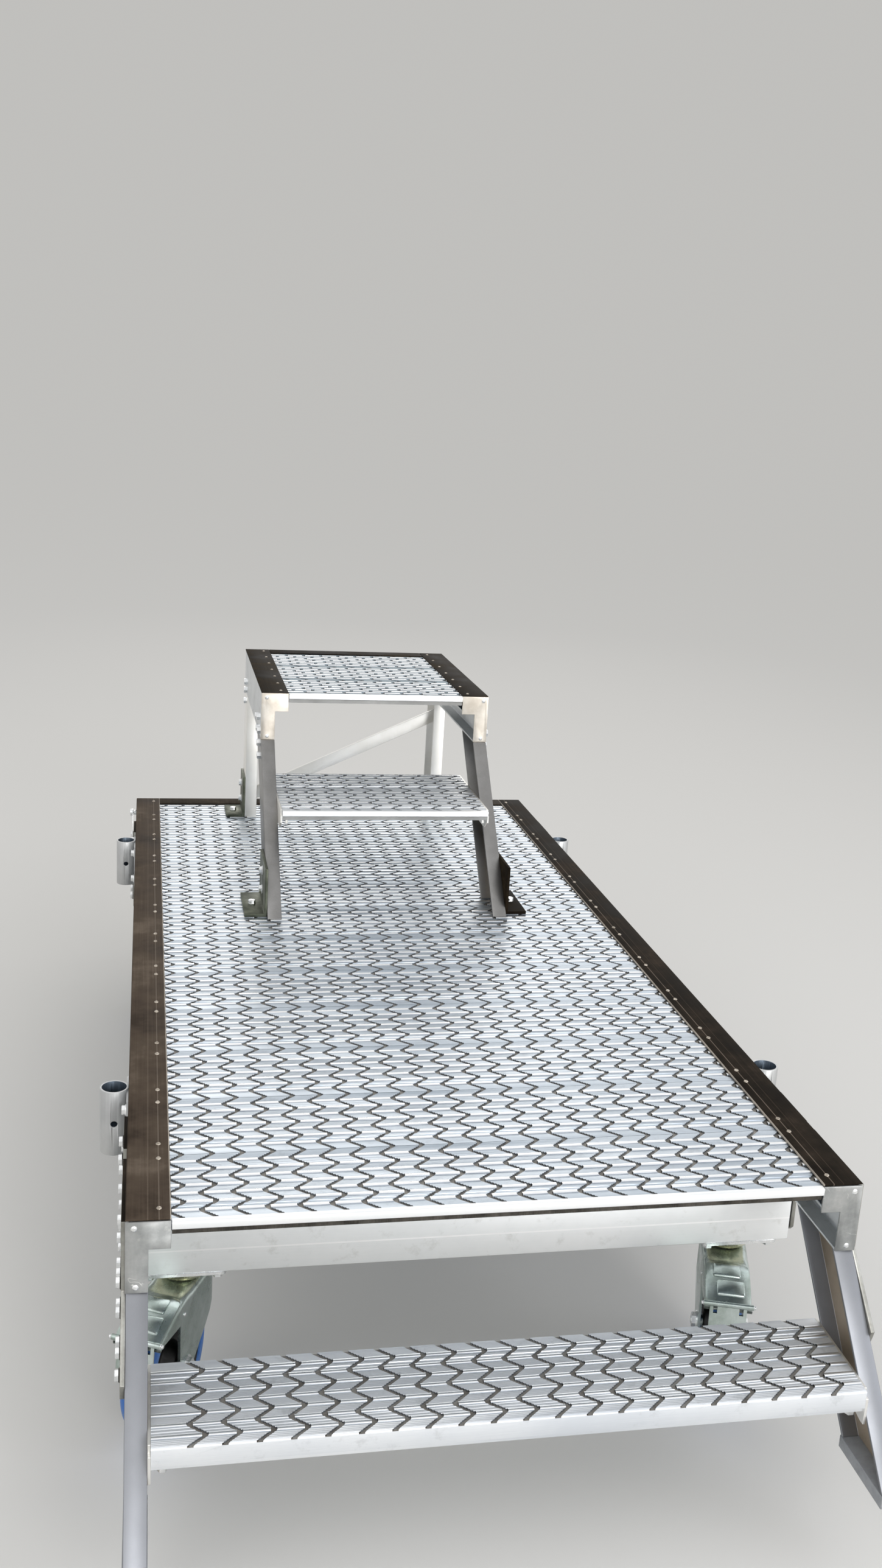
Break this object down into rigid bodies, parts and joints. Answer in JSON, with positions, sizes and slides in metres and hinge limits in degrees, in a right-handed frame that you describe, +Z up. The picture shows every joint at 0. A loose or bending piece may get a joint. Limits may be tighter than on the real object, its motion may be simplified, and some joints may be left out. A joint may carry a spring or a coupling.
{
  "type": "mobile aircraft maintenance steps",
  "caption": "Low wheeled aluminium platform of ribbed planks with a one-tread stair, a bolted two-step podium, rail sockets and braked swivel castors.",
  "frame": {"origin": "centre of the bounding box on the floor, halfway along and across the platform", "axes": "+Z up, +Y from the stair towards the podium, +X to the right as seen from the stair"},
  "size_m": [1.0788, 2.199, 0.843],
  "materials": {
    "planks": "bright mill finish, ribbed",
    "beams": "mill finish",
    "trim": "dark brown-black, semi-gloss",
    "sheet": "matt, smudged",
    "stringer": "anodised satin",
    "feet": "moulded plastic",
    "side_plates": "zinc plated",
    "sockets": "satin",
    "zinc": "bright zinc plated",
    "tyre": "blue elastic rubber",
    "hub": "black moulded"
  },
  "bodies": {
    "frame": {"deck_planks": "planks", "side_beams": "beams", "rear_beam": "beams", "castor_beams": "beams", "mid_beams": "beams", "trim_left": "trim", "trim_right": "trim", "trim_rear": "trim", "corner_plates": "sheet", "stringers": "stringer", "stair_tread": "planks", "tread_brackets": "sheet", "stringer_feet": "feet", "gussets": "side_plates", "beam_ties": "side_plates", "socket_left_front": "sockets", "socket_right_front": "sockets", "socket_left_rear": "sockets", "socket_right_rear": "sockets", "lock_pin": "sockets", "podium_stringers": "stringer", "podium_tread": "planks", "podium_brackets": "sheet", "podium_planks": "planks", "podium_beams": "beams", "podium_rear": "beams", "podium_trims": "trim", "podium_corners": "sheet", "podium_legs": "stringer", "podium_brace": "stringer", "podium_feet": "side_plates", "castor_plates": "zinc"},
    "castor_lf": {"fork_lf": "zinc"},
    "wheel_lf": {"tyre_lf": "tyre", "hub_lf": "hub"},
    "castor_rf": {"fork_rf": "zinc"},
    "wheel_rf": {"tyre_rf": "tyre", "hub_rf": "hub"},
    "castor_lr": {"fork_lr": "zinc"},
    "wheel_lr": {"tyre_lr": "tyre", "hub_lr": "hub"},
    "castor_rr": {"fork_rr": "zinc"},
    "wheel_rr": {"tyre_rr": "tyre", "hub_rr": "hub"}
  },
  "joints": [
    {"name": "swivel_lf", "type": "hinge", "parent": "frame", "child": "castor_lf", "pos_m": [-0.418, -0.6415, 0.22], "axis": [0, 0, 1], "continuous": true},
    {"name": "roll_lf", "type": "hinge", "parent": "castor_lf", "child": "wheel_lf", "pos_m": [-0.4442, -0.69769, 0.1], "axis": [0.9063, -0.4226, 0], "continuous": true},
    {"name": "swivel_rf", "type": "hinge", "parent": "frame", "child": "castor_rf", "pos_m": [0.418, -0.6415, 0.22], "axis": [0, 0, 1], "continuous": true},
    {"name": "roll_rf", "type": "hinge", "parent": "castor_rf", "child": "wheel_rf", "pos_m": [0.39884, -0.70047, 0.1], "axis": [0.9511, -0.309, 0], "continuous": true},
    {"name": "swivel_lr", "type": "hinge", "parent": "frame", "child": "castor_lr", "pos_m": [-0.418, 0.8495, 0.22], "axis": [0, 0, 1], "continuous": true},
    {"name": "roll_lr", "type": "hinge", "parent": "castor_lr", "child": "wheel_lr", "pos_m": [-0.43089, 0.78885, 0.1], "axis": [0.9781, -0.2079, 0], "continuous": true},
    {"name": "swivel_rr", "type": "hinge", "parent": "frame", "child": "castor_rr", "pos_m": [0.418, 0.8495, 0.22], "axis": [0, 0, 1], "continuous": true},
    {"name": "roll_rr", "type": "hinge", "parent": "castor_rr", "child": "wheel_rr", "pos_m": [0.42663, 0.7881, 0.1], "axis": [0.9903, 0.1392, 0], "continuous": true}
  ]
}
